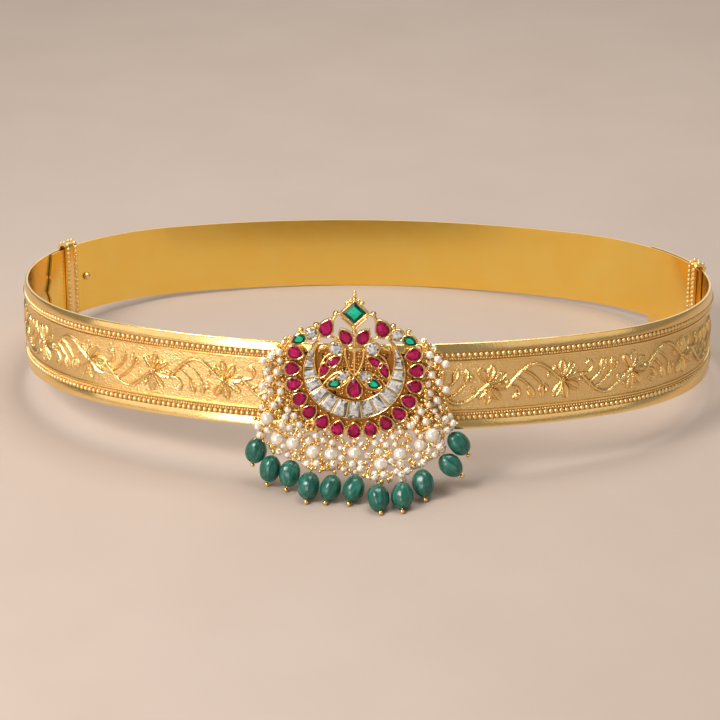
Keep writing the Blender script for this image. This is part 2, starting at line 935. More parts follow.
@dataclass(frozen=True)
class VineUnit:
    """One pitch of the vine: a flower, and the stem and tendrils that lead to it."""

    pitch: float = 29.5
    first: float = 20.8
    units: int = 6
    petals: tuple = ((131, 6.4, 3.1), (92, 7.8, 3.5), (54, 7.8, 3.5), (8, 8.2, 3.5), (-32, 8.2, 3.6),
                     (-78, 7.8, 3.6), (-118, 7.6, 3.5))
    stem: tuple = ((-21.7, -1.0), (-19.6, 1.4), (-16.1, 4.8), (-12.5, 6.8), (-8.9, 6.6), (-5.4, 4.3),
                   (-2.7, 1.8), (-0.8, 0.3))
    tendril: tuple = ((-15.6, 4.8), (-12.5, 3.0), (-10.3, 0.9), (-8.9, -0.7))
    inner: tuple = ((-18.5, 2.4), (-16.5, 1.4), (-14.7, -0.3), (-13.8, -1.0))
    hook: tuple = ((-21.9, -1.1), (-19.6, -1.2), (-18.1, -2.0), (-17.2, -4.1), (-18.2, -6.0), (-19.7, -5.3))
    leaves: tuple = ((-13.8, -0.3, -73, 6.6, 3.0, 1.0, 0.5), (-8.9, -0.2, -84, 6.4, 2.4, 1.0, 0.4),
                     (-7.4, -0.9, -62, 3.4, 1.5, 0.9, 0.3), (-4.3, 3.2, 62, 2.9, 1.3, 0.9, 0.3),
                     (-5.8, 3.4, -88, 2.8, 1.4, 0.8, 0.3))
    buds: tuple = ((0, 0, 1.0, 1.25), (-18.4, -4.8, 1.0, 1.0), (-6.6, -3.7, 0.85, 1.0),
                   (-22.2, 0.8, 0.8, 0.9))
    height: float = 1.1
    hidden: float = 0.7

    def carve(self, relief: Relief, at: float, up: int) -> None:
        """Raises one unit on the panel.

        Args:
            relief: The panel's relief.
            at: Place of the flower along the band.
            up: 1 for a unit whose stem arches up, -1 for one that hangs down.
        """
        def place(points: tuple) -> list:
            return [(at + p[0], up * p[1]) for p in points]

        h = self.height * (self.hidden if abs(at) < 30 else 1)
        for turn, length, width in self.petals:
            relief.leaf((at, 0), up * turn, length, width, h, 0.7)
        for path, width, share in ((self.stem, (1.4, 1.1), 0.95), (self.tendril, (1.0, 0.8), 0.8),
                                   (self.inner, (1.0, 0.8), 0.8), (self.hook, (1.2, 1.0), 0.85)):
            relief.ridge(smooth_path(place(path), 6), width, h * share)
        for s, z, turn, length, width, share, groove in self.leaves:
            relief.leaf((at + s, up * z), up * turn, length, width, h * share, groove)
        for s, z, r, share in self.buds:
            relief.knob((at + s, up * z), r, h * share)


@dataclass
class FrontBand:
    """The stiff front half with its rims, ridges and running vine."""

    kit: Kit
    vine: VineUnit = field(default_factory=VineUnit)
    step: float = 0.24
    plain_step: float = 2.5
    crown: float = 0.1
    tilt: float = 0.19
    bead_sets: tuple = (("bead_rows", 2.15, 0.95, 1.05), ("fine_bead_rows", 1.075, 0.44, 2.5))

    def profile(self) -> tuple[np.ndarray, np.ndarray]:
        """Heights across the band and how proud the ornament is there.

        Returns:
            Heights z, and the outward distance at each.
        """
        s = self.kit.belt.s
        top = s.band_h / 2
        rim = top - s.rim_h
        panel = rim - s.row_h
        half = [(panel, 0.0), (panel + 0.08, 0.34), (panel + 0.35, 0.46), (panel + 0.62, 0.34),
                (panel + 0.7, 0.06), (rim - 0.06, 0.06), (rim, s.rim_proud - 0.06),
                (rim + 0.08, s.rim_proud)]
        half += [(rim + 0.08 + u * (s.rim_h - 0.3), s.rim_proud + self.crown * (1 - (2 * u - 1) ** 2))
                 for u in (0.15, 0.3, 0.5, 0.7, 0.85)]
        half += [(top - 0.22, s.rim_proud), (top - 0.07, s.rim_proud - 0.06), (top, s.rim_proud - 0.24)]
        count = int(2 * panel / self.step)
        rows = [(z, 0.0) for z in np.linspace(-panel, panel, count + 1)[1:-1]]
        below = [(-z, p) for z, p in reversed(half)]
        table = np.array(below + rows + half)
        z, proud = table[:, 0], table[:, 1]
        middle = np.copysign(rim + s.rim_h / 2, z)
        return z, proud + np.where(np.abs(z) > rim, self.tilt * (middle - z), 0)

    def columns(self, left: float, right: float) -> np.ndarray:
        """Places of the grid's columns along the band.

        Args:
            left: Lowest place.
            right: Highest place.

        Returns:
            The places.
        """
        belt = self.kit.belt
        end = belt.along(belt.s.ornament_end)
        fine = np.arange(max(left, -end), min(right, end) + 1e-6, self.step)
        parts = [fine]
        if left < -end:
            parts.insert(0, np.arange(left, -end - 0.4, self.plain_step))
        if right > end:
            parts.append(np.arange(right, end + 0.4, -self.plain_step)[::-1])
        return np.concatenate(parts)

    def half(self, name: str, left: float, right: float) -> None:
        """Makes one half of the band.

        Args:
            name: Name of the piece.
            left: Place of its left end.
            right: Place of its right end.
        """
        belt = self.kit.belt
        s = belt.s
        z, proud = self.profile()
        cols = self.columns(left, right)
        relief = Relief(cols, z, np.zeros((len(z), len(cols))))
        for k in range(self.vine.units):
            at = self.vine.first + k * self.vine.pitch
            self.vine.carve(relief, at, 1 if k % 2 == 0 else -1)
            self.vine.carve(relief, -at, -1 if k % 2 == 0 else 1)
        end = belt.along(s.ornament_end)
        fade = np.clip((end - np.abs(cols)) / 0.3, 0, 1)
        panel = s.band_h / 2 - s.rim_h - s.row_h
        inside = (np.abs(z) < panel - 0.2)[:, None]
        out = (proud[:, None] + np.where(inside, relief.height, 0)) * fade
        ground = np.where(inside, np.where(relief.height < 0.12, 1.0, 0.45), 0.0) * fade
        channel = (np.abs(z) > panel + 0.65) & (np.abs(z) < s.band_h / 2 - s.rim_h - 0.03)
        crease = (np.clip(1.5 * (spread_out(relief.height, 2) - relief.height), 0, 0.8) * inside
                  + 0.75 * channel[:, None]) * fade
        ss = np.broadcast_to(cols, out.shape)
        plan = belt.face(ss, out)
        zz = np.broadcast_to(z[:, None], out.shape)
        front = np.concatenate([plan, zz[..., None]], -1)
        back_plan = belt.face(cols, np.full(len(cols), -s.band_t))
        low = np.column_stack([back_plan, np.full(len(cols), z[0])])
        high = np.column_stack([back_plan, np.full(len(cols), z[-1])])
        rows = np.concatenate([low[None], front, high[None]])
        edge = np.zeros((1, len(cols)))
        shade = np.concatenate([edge, ground, edge])
        dark = np.concatenate([edge, crease, edge])
        n, m = rows.shape[:2]
        index = np.arange(n * m).reshape(n, m)
        back = np.stack([index[-1, :-1], index[-1, 1:], index[0, 1:], index[0, :-1]], -1)
        faces = [tuple(q) for q in np.concatenate([grid_quads(index), back]).tolist()]
        faces += [tuple(index[::-1, -1].tolist()), tuple(index[:, 0].tolist())]
        self.kit.mesh(name, rows.reshape(-1, 3), faces, "gilt", Slot.GOLD, ("front_band",), 50.0,
                      {"ground": shade.reshape(-1), "crease": dark.reshape(-1)})

    def beads(self) -> None:
        """The bead rows beside the rims."""
        belt = self.kit.belt
        s = belt.s
        end = belt.along(s.ornament_end) - 0.8
        for name, pitch, r, inset in self.bead_sets:
            z = s.band_h / 2 - s.rim_h - inset
            verts, faces = ball(r, 8, 5)
            rows = Batch()
            count = int(end / pitch)
            for at in np.arange(-count, count + 1) * pitch:
                plan = belt.face(np.array(at), np.array(0.25 * r))
                for up in (-1, 1):
                    rows.add(verts + [plan[0], plan[1], up * z], faces)
            self.kit.pack(name, rows, "satin", Slot.GOLD)

    def build(self) -> None:
        """Makes the front band."""
        belt = self.kit.belt
        self.half("front_band_left", belt.along(-belt.s.tail_left), 0.0)
        self.half("front_band_right", 0.0, belt.along(belt.s.tail_right))
        self.beads()


@dataclass
class BackStrap:
    """The plain polished back half with its ogee tongue."""

    kit: Kit
    ogee: tuple = ((0.0, 0.5), (0.1, 0.42), (0.34, 0.3), (0.5, 0.22), (0.46, 0.15), (0.7, 0.08), (1.0, 0.0))
    step: float = 0.7
    rows: int = 24

    def build(self) -> None:
        """Makes the strap as one sheet, whose left end follows the ogee."""
        belt = self.kit.belt
        s = belt.s
        heights = np.linspace(-0.5, 0.5, 2 * self.rows + 1)
        short, far = zip(*reversed(self.ogee))
        share = np.interp(np.abs(heights), far, short)
        angles = np.arange(s.strap_right_end, 360 - s.tongue_end - 4, self.step)
        last = np.radians(360 - s.tongue_end) * s.side_r
        place = []
        for k, h in enumerate(heights):
            tip = last - s.ogee_l * (1 - share[k])
            start = np.radians(angles[-1]) * s.side_r
            more = np.degrees(np.linspace(start, tip, 14)[1:] / s.side_r)
            place.append(np.concatenate([angles, more]))
        turn = np.array(place)
        signed = np.where(turn > 180, turn - 360, turn)
        z = np.broadcast_to((s.strap_rise + heights * s.strap_h)[:, None], turn.shape)
        outer = np.concatenate([belt.loop_point(signed, -belt.strap_face), z[..., None]], -1)
        inner = np.concatenate([belt.loop_point(signed, -belt.strap_face + s.strap_t), z[..., None]], -1)
        n, m = turn.shape
        index = np.arange(n * m).reshape(n, m)
        faces = []
        for base, flip in ((0, 1), (n * m, -1)):
            faces += [tuple(q[::flip]) for q in (grid_quads(index) + base).tolist()]
        edge = np.concatenate([index[0, :], index[1:, -1], index[-1, -2::-1], index[-2:0:-1, 0]])
        for a, b in zip(edge, np.roll(edge, -1)):
            faces.append((int(b), int(a), int(a + n * m), int(b + n * m)))
        verts = np.concatenate([outer.reshape(-1, 3), inner.reshape(-1, 3)])
        self.kit.mesh("strap", verts, faces, "mirror", Slot.POLISHED, ("back_strap",), 35.0)


@dataclass
class Keepers:
    """The folded loops with milgrain borders, and the stop knob."""

    kit: Kit
    width: float = 7.0
    thick: float = 0.7
    gap: float = 0.25
    border: float = 1.9
    proud: float = 0.36
    bead_r: float = 0.75
    bead_pitch: float = 1.9
    left_at: float = -117.0
    right_at: float = 105.0

    def loop(self, half_w: float, half_h: float, bends: int = 8) -> np.ndarray:
        """Outline of a loop with round ends.

        Args:
            half_w: Half of its width.
            half_h: Half of its height.
            bends: Bends in each round end.

        Returns:
            Points as width and height.
        """
        turns = np.linspace(0, math.pi, bends + 1)
        top = np.column_stack([half_w * np.cos(turns), half_h - half_w + half_w * np.sin(turns)])
        return np.concatenate([top, -top])

    def one(self, name: str, node: str, t: float) -> None:
        """Makes one keeper.

        Args:
            name: Name of the piece.
            node: The CAD node that it replaces.
            t: Its angle on the loop.
        """
        belt = self.kit.belt
        s = belt.s
        stack = s.band_t + s.lap_gap + s.strap_t
        half_w = stack / 2 + self.gap
        half_h = s.band_h / 2 + half_w
        a = math.radians(t)
        point = belt.face(np.array(belt.along(t)), np.array(-stack / 2))
        out = np.array([math.sin(a), -math.cos(a), 0])
        side = np.array([math.cos(a), math.sin(a), 0])
        centre = np.array([point[0], point[1], 0])
        layers = [(0.0, 0.25), (0.12, self.proud), (self.border - 0.12, self.proud), (self.border, 0.05),
                  (self.width / 2, 0.0)]
        layers += [(self.width - x, p) for x, p in reversed(layers[:-1])]

        def ring(path: np.ndarray, x: float) -> list:
            return [centre + q[0] * out + [0, 0, q[1]] + (x - self.width / 2) * side for q in path]

        rings = [ring(self.loop(half_w + self.thick + p, half_h + self.thick + p), x) for x, p in layers]
        rings += [ring(self.loop(half_w, half_h), x) for x in (self.width, 0.0)]
        rings = np.array(rings)
        n, m = rings.shape[:2]
        faces = [(i * m + k, i * m + (k + 1) % m, (i + 1) % n * m + (k + 1) % m, (i + 1) % n * m + k)
                 for i in range(n) for k in range(m)]
        self.kit.mesh(name, rings.reshape(-1, 3), faces, "plain", Slot.GOLD, (node,), 40.0)
        beads = Batch()
        verts, quads = ball(self.bead_r, 8, 5)
        path = self.loop(half_w + self.thick + self.proud, half_h + self.thick + self.proud, 10)
        closed = np.concatenate([path, path[:1]])
        length = np.r_[0, np.cumsum(np.linalg.norm(np.diff(closed, axis=0), axis=1))]
        for x in (self.border / 2, self.width - self.border / 2):
            for at in np.linspace(0, length[-1], int(length[-1] / self.bead_pitch), endpoint=False):
                q = [np.interp(at, length, closed[:, 0]), np.interp(at, length, closed[:, 1])]
                beads.add(verts + centre + q[0] * out + [0, 0, q[1]] + (x - self.width / 2) * side, quads)
        self.kit.pack(name + "_milgrain", beads, "satin", Slot.GOLD)

    def build(self) -> None:
        """Makes both keepers."""
        self.one("keeper_loop_left", "keeper_left", self.left_at)
        self.one("keeper_loop_right", "keeper_right", self.right_at)
        self.kit.dress("stop_knob", "satin")


@dataclass(frozen=True)
class Stone:
    """One stone of the plaque, from the ring's centre."""

    node: str
    x: float
    z: float
    cut: Cut
    w: float
    length: float
    turn: float
    material: str


STONES = (
    Stone("top_emerald", 0, 22.9, Cut.KITE, 8.6, 8.2, 0, "green"),
    Stone("centre_ruby", 0, -6.3, Cut.PEAR, 5.4, 7.2, 0, "ruby"),
    Stone("top_ruby", 10.3, 16.9, Cut.PEAR, 4.9, 6.3, 25, "ruby"),
    Stone("low_ruby", 3.35, 13.5, Cut.PEAR, 4.4, 5.9, -34, "ruby"),
    Stone("head_white", 6.7, 8.9, Cut.OVAL, 4.4, 4.4, 0, "white"),
    Stone("side_white", 15.9, 14.6, Cut.OVAL, 4.2, 3.5, -20, "white"),
    Stone("side_green", 20.6, 12.4, Cut.PEAR, 3.2, 5, -112, "green"),
    Stone("wing_ruby", 7.5, 4.1, Cut.PEAR, 2.9, 5.4, 56, "ruby"),
    Stone("wing_tip", 11.2, 0.6, Cut.PEAR, 2.9, 5.6, -157, "ruby"),
    Stone("leaf_white", 3.95, -1.7, Cut.PEAR, 3.2, 4.5, 58, "white"),
    Stone("leaf_green", 7.4, -4.5, Cut.PEAR, 3.3, 4.8, -110, "green"),
)
FINIAL = ((0, 28.0, 0.95), (0, 29.6, 0.75), (0, 30.8, 0.5), (-1.5, 27.4, 0.62), (1.5, 27.4, 0.62))
TABLE = 0.62
CRESCENT_TABLE = 0.66
BEZEL_R = 0.27
SIDE_STONES = 7
MIDDLE = 2
FACETS = {"ruby": (0.09, 0.24), "green": (0.24, 0.12), "white": (0.02, 0.3)}
SLOT_OF = {"ruby": Slot.RUBY, "green": Slot.GREEN, "white": Slot.WHITE}


def outline(cut: Cut, w: float, length: float, grow: float, sides: int = 36) -> np.ndarray:
    """Outline of a stone, grown evenly.

    Args:
        cut: Its kind of outline.
        w: Its width.
        length: Its length.
        grow: Distance that it is grown by.
        sides: Number of points.

    Returns:
        Points, anticlockwise.
    """
    t = np.arange(sides) * 2 * math.pi / sides
    if cut is Cut.PEAR:
        w, length = w + 2 * grow, length + 2.8 * grow
        across = -w / 1.68 * np.sin(t) * np.abs(np.sin(t / 2)) ** 0.6
        return np.column_stack([across, length / 2 * np.cos(t)])
    if cut is Cut.OVAL:
        return np.column_stack([(w / 2 + grow) * np.cos(t), (length / 2 + grow) * np.sin(t)])
    w, length = w + 2.9 * grow, length + 2.9 * grow
    corners = np.array([[w / 2, 0], [0, length / 2], [-w / 2, 0], [0, -length / 2], [w / 2, 0]])
    at = np.arange(sides) * 4 / sides
    return np.column_stack([np.interp(at, range(5), corners[:, k]) for k in (0, 1)])


STEM_LINES = (
    ((0, 11.5), (0, 5), (0, -2), 1, 0.7),
    ((0, 19.4), (0, 17), (0, 15), 1.2, 1.6),
)
BIRD_LINES = (
    ((3.6, 8.6), (3.4, 2.5), (0.5, -1.4), 1, 0.6),
    ((4.4, 6.6), (8.5, 5), (13, -2.6), 0.7, 0.6),
    ((5, 7), (12.6, 8.6), (13.3, -2.2), 0.8, 0.7),
    ((1, -0.4), (7, 2), (12.2, -6), 0.8, 0.7),
    ((1.2, -1.6), (4.5, -8.7), (12.2, -6.2), 0.8, 0.7),
    ((4.3, -4.8), (5.7, -2.9), (7.3, -0.9), 0.7, 0.7),
    ((9.2, 9.6), (12, 11), (13.4, 7.4), 1.6, 0.5),
    ((0, 16.2), (1.8, 18.4), (4.6, 20.6), 0.8, 0.8),
    ((5.4, 12.4), (8, 12.6), (9.6, 14.2), 0.8, 0.8),
    ((12.2, 15.4), (13, 13.6), (13.4, 12), 1.4, 1.4),
    ((3.2, 20.6), (6.8, 24.2), (8.2, 19), 1.1, 1.1),
)


class Plaque:
    """The pierced setting with its stones, rims and granules."""

    def __init__(self, kit: Kit) -> None:
        """Starts the stones' random draws, and the batches of rims and granules.
        """
        self.kit = kit
        s = kit.belt.s
        self.rim = s.plate_t + s.collet_h
        self.seed = np.random.default_rng(7)
        self.bezels = Batch()
        self.grains = Batch()

    def lift(self, flat: np.ndarray, out: float | np.ndarray) -> np.ndarray:
        """Takes flat points of the plaque into the level frame.

        Args:
            flat: Points from the ring's centre.
            out: Distance outward from the plaque's back.

        Returns:
            Points in the level frame.
        """
        flat = np.asarray(flat, float)
        y = np.broadcast_to(self.kit.belt.plaque_back - np.asarray(out, float), len(flat))
        return np.column_stack([flat[:, 0], y, flat[:, 1] + self.kit.belt.s.ring_rise])

    def cut(self, shape: np.ndarray, table: float, name: str, material: str, replaced: tuple,
            batch: Batch | None = None) -> None:
        """Makes a cut stone from its outline.

        Args:
            shape: The outline.
            table: Size of the table as a share of the outline.
            name: Name of the piece.
            material: Key of its material.
            replaced: The CAD node that it replaces.
            batch: A batch to add it to instead of making a piece.
        """
        s = self.kit.belt.s
        base = s.plate_t + s.stone_gap
        top = self.rim + 0.35
        girdle = self.rim - 0.1
        mid = shape.mean(0)
        n = len(shape)
        rings = [self.lift(mid + (shape - mid) * share, out) for share, out in ((0.8, base), (1, girdle))]
        verts = np.concatenate([*rings, self.lift(mid + (shape[::2] - mid) * table, top)])
        faces = [(i, (i + 1) % n, n + (i + 1) % n, n + i) for i in range(n)]
        for i in range(0, n, 2):
            low, mean, high = n + i, n + (i + 1) % n, n + (i + 2) % n
            this, following = 2 * n + i // 2, 2 * n + (i // 2 + 1) % (n // 2)
            faces += [(low, mean, this), (mean, following, this), (mean, high, following)]
        faces += [tuple(2 * n + i for i in range(n // 2)), tuple(range(n))[::-1]]
        middle, spread = FACETS[material]
        shades = self.seed.uniform(-middle - spread, spread - middle, len(faces)).tolist()
        shades[-2] = middle + float(self.seed.uniform(-0.04, 0.04))
        if batch is None:
            self.kit.mesh(name, verts, faces, material, SLOT_OF[material], replaced, 0.0, {"facet": shades})
        else:
            batch.add(verts, faces, shades)

    def bezel(self, shape: np.ndarray) -> None:
        """A rounded rim on top of a collet.

        Args:
            shape: Middle line of the collet's wall.
        """
        path = self.lift(shape, self.rim - 0.05)
        verts, faces = tube(path, BEZEL_R, 6, True)
        self.bezels.add(verts, faces)

    def place(self, stone: Stone, grow: float, side: int, sides: int = 36) -> np.ndarray:
        """Outline of a stone where it sits.

        Args:
            stone: The stone.
            grow: Distance that it is grown by.
            side: 1 on the right, -1 on the left.
            sides: Number of points.

        Returns:
            The outline from the ring's centre.
        """
        shape = outline(stone.cut, stone.w, stone.length, grow, sides)
        a = math.radians(stone.turn)
        turned = shape @ np.array([[math.cos(a), math.sin(a)], [-math.sin(a), math.cos(a)]])
        moved = turned + [stone.x, stone.z]
        if side < 0:
            moved = (moved * [-1, 1])[::-1]
        return moved

    def main_stones(self) -> None:
        """The single and paired stones with their collets' rims."""
        wall = self.kit.belt.s.stone_gap + self.kit.belt.s.collet_t / 2
        sides = {Cut.PEAR: 20, Cut.OVAL: 20, Cut.KITE: 8}
        for row, stone in enumerate(STONES):
            for side, tail in ((1, "_right"), (-1, "_left")):
                if row < MIDDLE and side < 0:
                    continue
                node = stone.node if row < MIDDLE else stone.node + tail
                shape = self.place(stone, 0.03, side, sides[stone.cut])
                self.cut(shape, TABLE, "cut_" + node, stone.material, (node,))
                self.bezel(self.place(stone, wall, side))

    def ring(self) -> None:
        """The ring of rubies."""
        s = self.kit.belt.s
        wall = s.stone_gap + s.collet_t / 2
        batch = Batch()
        for k in range(-SIDE_STONES, SIDE_STONES + 1):
            a = math.radians(k * s.ring_step)
            turn = np.array([[math.cos(a), math.sin(a)], [-math.sin(a), math.cos(a)]])
            for grow, sides in ((0.03, 20), (wall, 30)):
                shape = (outline(Cut.PEAR, s.ruby_w, s.ruby_l, grow, sides) + [0, -s.ring_r]) @ turn
                if sides == 20:
                    self.cut(shape, TABLE, "", "ruby", (), batch)
                else:
                    self.bezel(shape)
        self.kit.pack("ring_rubies", batch, "ruby", Slot.RUBY, ("ruby_ring",), 0.0, {"facet": batch.shades})

    def crescent_point(self, a: float, r: float) -> np.ndarray:
        """A point of the crescent.

        Args:
            a: Angle from its lowest point.
            r: Distance from its centre.

        Returns:
            The point from the ring's centre.
        """
        t = math.radians(a)
        return np.array([r * math.sin(t), self.kit.belt.s.crescent_rise - r * math.cos(t)])

    def crescent(self) -> None:
        """The crescent's white stones and their walls."""
        s = self.kit.belt.s

        def half_w(a: float) -> float:
            return s.crescent_half_w * (1 - (abs(a) / s.crescent_end) ** 2.6)

        def at(k: int) -> float:
            return 17.3 * k - 0.25 * k * abs(k)

        batch = Batch()
        edge = math.degrees((s.collet_t / 2 + s.stone_gap) / s.crescent_r)
        rim = s.collet_t + s.stone_gap
        for k in range(-SIDE_STONES, SIDE_STONES + 1):
            low, high = (at(k - 1) + at(k)) / 2, (at(k) + at(k + 1)) / 2
            steps = np.linspace(low + edge, high - edge, 5)
            outer = [self.crescent_point(a, s.crescent_r + half_w(a) - rim) for a in steps]
            inner = [self.crescent_point(a, s.crescent_r - half_w(a) + rim) for a in steps[::-1]]
            self.cut(np.array(outer + inner), CRESCENT_TABLE, "", "white", (), batch)
            if k < SIDE_STONES:
                wall = [self.crescent_point(high, s.crescent_r + d * half_w(high))
                        for d in np.linspace(-0.96, 0.96, 5)]
                verts, faces = tube(self.lift(np.array(wall), self.rim - 0.05), 0.24, 6)
                self.bezels.add(verts, faces)
        self.kit.pack("crescent_whites", batch, "white", Slot.WHITE, ("crescent_stones",), 0.0,
                      {"facet": batch.shades})
        turns = np.linspace(-s.crescent_end, s.crescent_end, 61)
        inset = s.collet_t / 2
        loop = [self.crescent_point(a, s.crescent_r + max(0.0, half_w(a) - inset)) for a in turns]
        loop += [self.crescent_point(a, s.crescent_r - max(0.0, half_w(a) - inset)) for a in turns[-2:0:-1]]
        self.bezel(np.array(loop))

    def granules(self) -> None:
        """Granule balls between the collets and on the pierced ground."""
        s = self.kit.belt.s
        small, faces = ball(0.42, 8, 5)
        for k in range(-SIDE_STONES, SIDE_STONES):
            for r, lift_by in ((s.ring_r + 2.7, 0.2), (s.ring_r - 2.9, 0.1)):
                a = math.radians((k + 0.5) * s.ring_step)
                at = self.lift(np.array([[r * math.sin(a), -r * math.cos(a)]]), s.plate_t + 0.2 + lift_by)
                self.grains.add(small + at, faces)
        for x, z, r in FINIAL:
            self.grains.add(*ball(r, 12, 8))
            self.grains.verts[-1] = self.grains.verts[-1] + self.lift(np.array([[x, z]]), s.plate_t + 0.4)
        grid = [(x, z) for x in np.arange(-12.6, 12.7, 1.2) for z in np.arange(-11.4, 9.5, 1.2)]
        tiny, quads = ball(0.34, 7, 4)
        for j, (x, z) in enumerate(grid):
            spot = np.array([x + 0.3 * math.sin(7.1 * j), z + 0.3 * math.cos(5.3 * j)])
            if np.hypot(spot[0], spot[1] - s.crescent_rise) > s.crescent_r - s.crescent_half_w - 0.9:
                continue
            self.grains.add(tiny + self.lift(spot[None], s.plate_t + 0.1), quads)

    def scrolls(self) -> None:
        """Round wires on the raised lines of the birds, and rims around the paired cells."""
        out = self.kit.belt.s.plate_t + 0.62
        for line, single in [(line, True) for line in STEM_LINES] + [(line, False) for line in BIRD_LINES]:
            a, b, c = (np.array(p, float) for p in line[:3])
            u = np.linspace(0, 1, 14)[:, None]
            path = a * (1 - u) ** 2 + 2 * b * u * (1 - u) + c * u * u
            radius = np.linspace(line[3], line[4], 14) * 0.46
            for side in (1,) if single else (1, -1):
                verts, faces = tube(self.lift(path * [side, 1], out), radius, 7)
                self.bezels.add(verts, faces)
        knot, faces = ball(1.0, 14, 8)
        self.bezels.add(knot * [2.5, 0.55, 0.85] + self.lift(np.array([[0, 9.2]]), out + 0.1), faces)
        for side in (1, -1):
            turned = np.array([[0.89, 0, -0.45 * side], [0, 1, 0], [0.45 * side, 0, 0.89]])
            wing = knot * [2.1, 0.5, 0.95] @ turned
            self.bezels.add(wing + self.lift(np.array([[side * 11.6, 9.4]]), out + 0.1), faces)

    def build(self) -> None:
        """Makes the plaque's pieces."""
        self.kit.dress("plaque_setting", "setting")
        self.main_stones()
        self.ring()
        self.crescent()
        self.granules()
        self.scrolls()
        for name, batch in (("collet_rims", self.bezels), ("granules", self.grains)):
            self.kit.pack(name, batch, "plain", Slot.GOLD, smooth=60.0)


@dataclass(frozen=True)
class Drilled:
    """Place, drill direction and radius of a bead or pearl, read from its CAD solid."""

    centre: np.ndarray
    axis: np.ndarray
    r: float


def loose_parts(node: str) -> list[tuple[np.ndarray, list]]:
    """Splits a CAD node's mesh into its loose solids.

    Args:
        node: Name of the node.

    Returns:
        Points and faces of each solid.
    """
    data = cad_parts[node].data
    co = np.array([v.co for v in data.vertices], float)
    _, same = np.unique(co.round(6), axis=0, return_inverse=True)
    same = same.reshape(-1)
    parent = list(range(same.max() + 1))

    def root(i: int) -> int:
        while parent[i] != i:
            parent[i] = parent[parent[i]]
            i = parent[i]
        return i

    for poly in data.polygons:
        first = root(same[poly.vertices[0]])
        for v in poly.vertices[1:]:
            parent[root(same[v])] = first
    groups: dict = {}
    for poly in data.polygons:
        groups.setdefault(root(same[poly.vertices[0]]), []).append(tuple(poly.vertices))
    return [(co, faces) for _, faces in sorted(groups.items())]


def drilled(co: np.ndarray, faces: list) -> Drilled:
    """Finds the centre, drill axis and radius of a drilled round solid.

    Args:
        co: Points of the mesh.
        faces: Faces of the solid.

    Returns:
        What was found.
    """
    used = np.unique([i for f in faces for i in f])
    pts = co[used]
    centre = (pts.min(0) + pts.max(0)) / 2
    bore = []
    for f in faces:
        p = co[list(f)]
        normal = np.cross(p[1] - p[0], p[2] - p[0])
        if np.linalg.norm(normal) < 1e-14:
            continue
        radial = p.mean(0) - centre
        if normal @ radial < 0.35 * np.linalg.norm(normal) * np.linalg.norm(radial):
            bore.append(p)
    source = np.concatenate(bore) if bore else pts
    spread = source - centre
    axis = np.linalg.eigh(spread.T @ spread)[1][:, -1]
    reach = np.linalg.norm(pts - centre, axis=1).max()
    return Drilled(centre, axis if axis[2] < 0 else -axis, float(reach))


